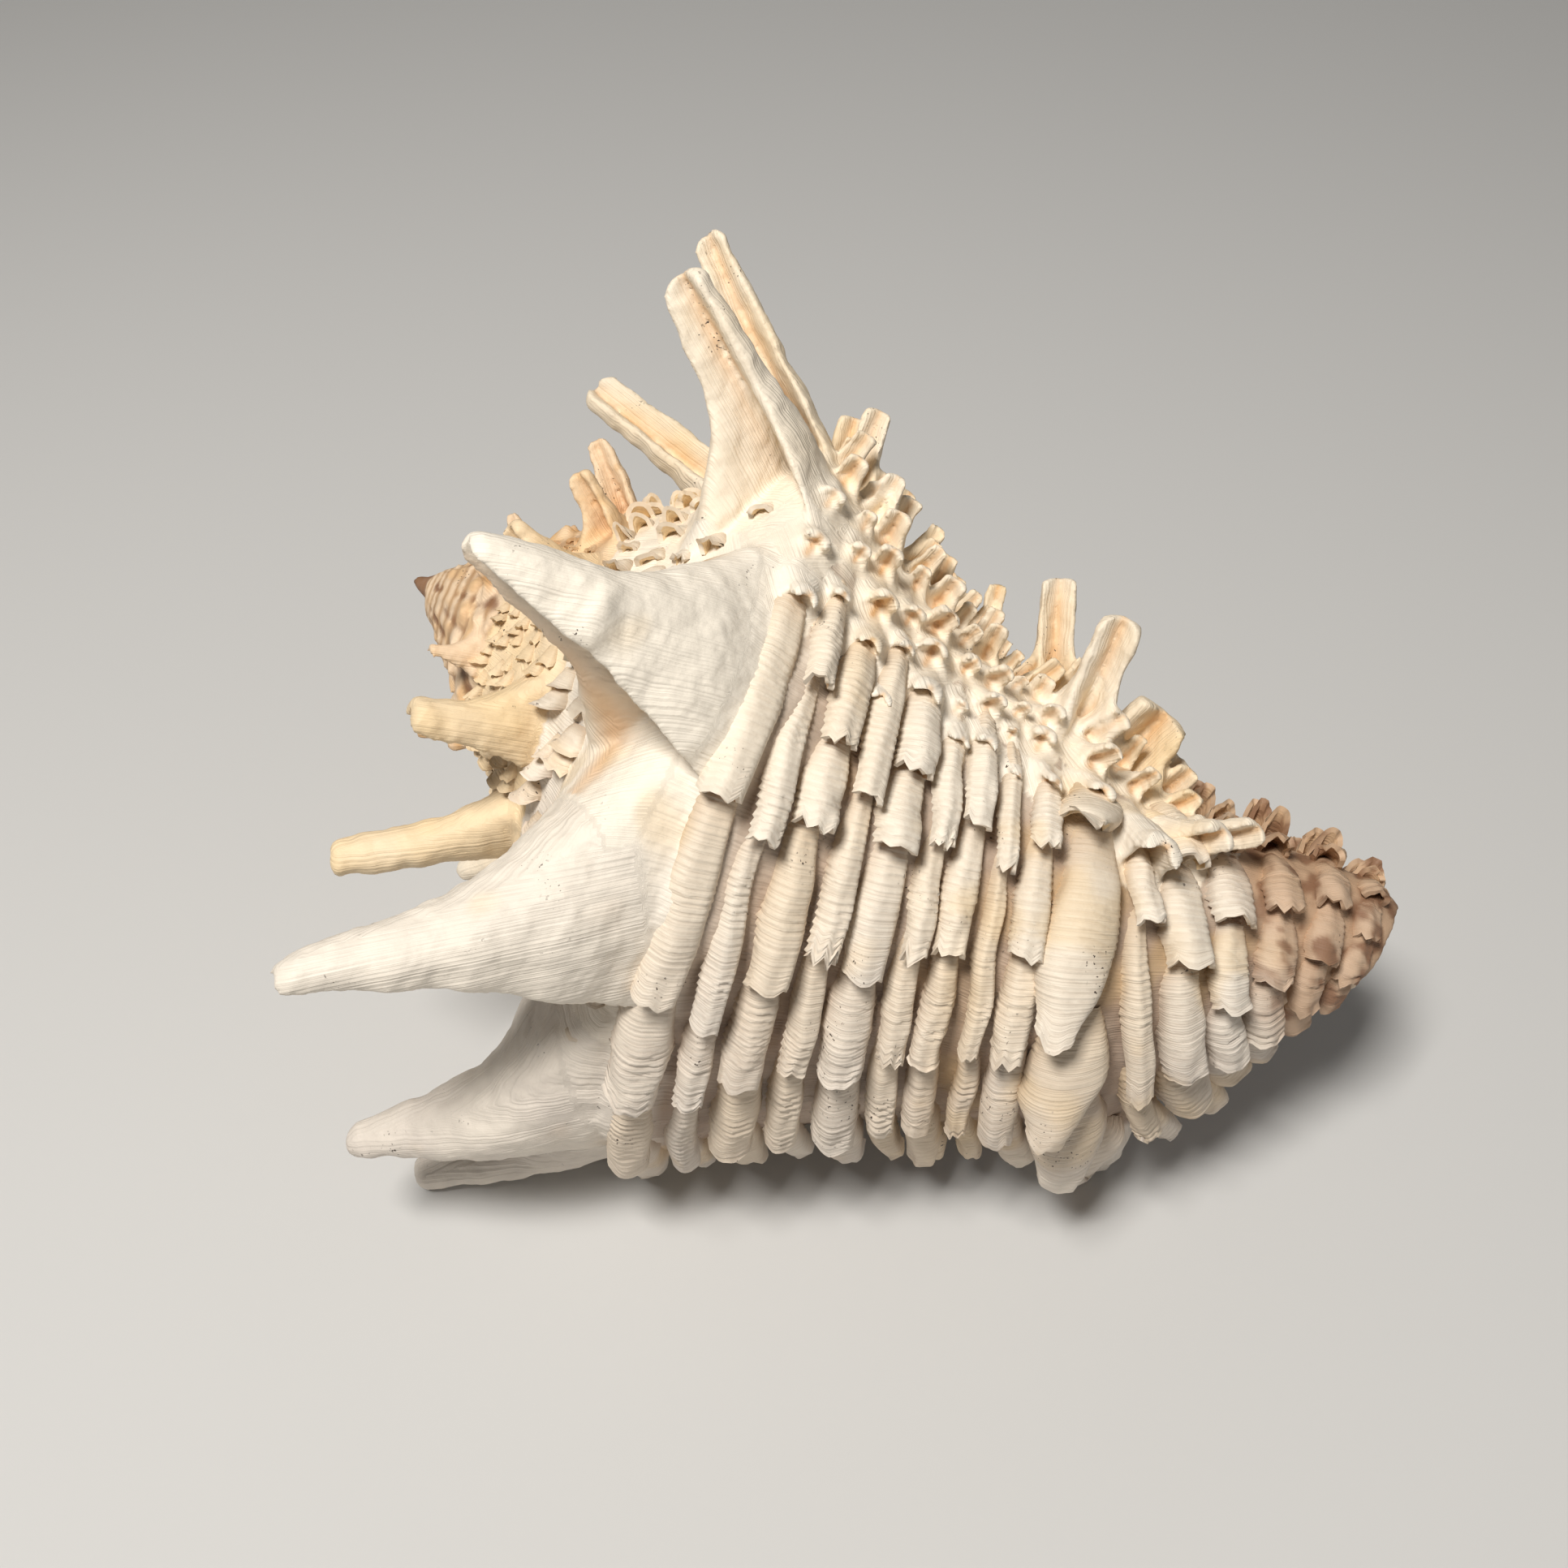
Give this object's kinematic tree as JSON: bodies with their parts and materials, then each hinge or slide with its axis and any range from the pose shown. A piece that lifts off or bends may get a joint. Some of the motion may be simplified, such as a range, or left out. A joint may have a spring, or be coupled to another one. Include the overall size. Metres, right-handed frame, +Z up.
{
  "type": "vase shell",
  "caption": "Spiny vase shell lying on its aperture side: knobbly spire, hollow shoulder spines, cords of fluted scales and a recurved siphonal canal.",
  "frame": {"origin": "on the resting plane, under the middle of the shell's box", "axes": "+Z up, +X from the spire towards the siphonal canal along the longest extent, -Y towards the outer lip side"},
  "size_m": [0.1556, 0.127, 0.128],
  "materials": {
    "shell": "chalky matt, white and cream with peach and brown stains"
  },
  "bodies": {
    "root": {"vase_shell": "shell"}
  },
  "joints": []
}
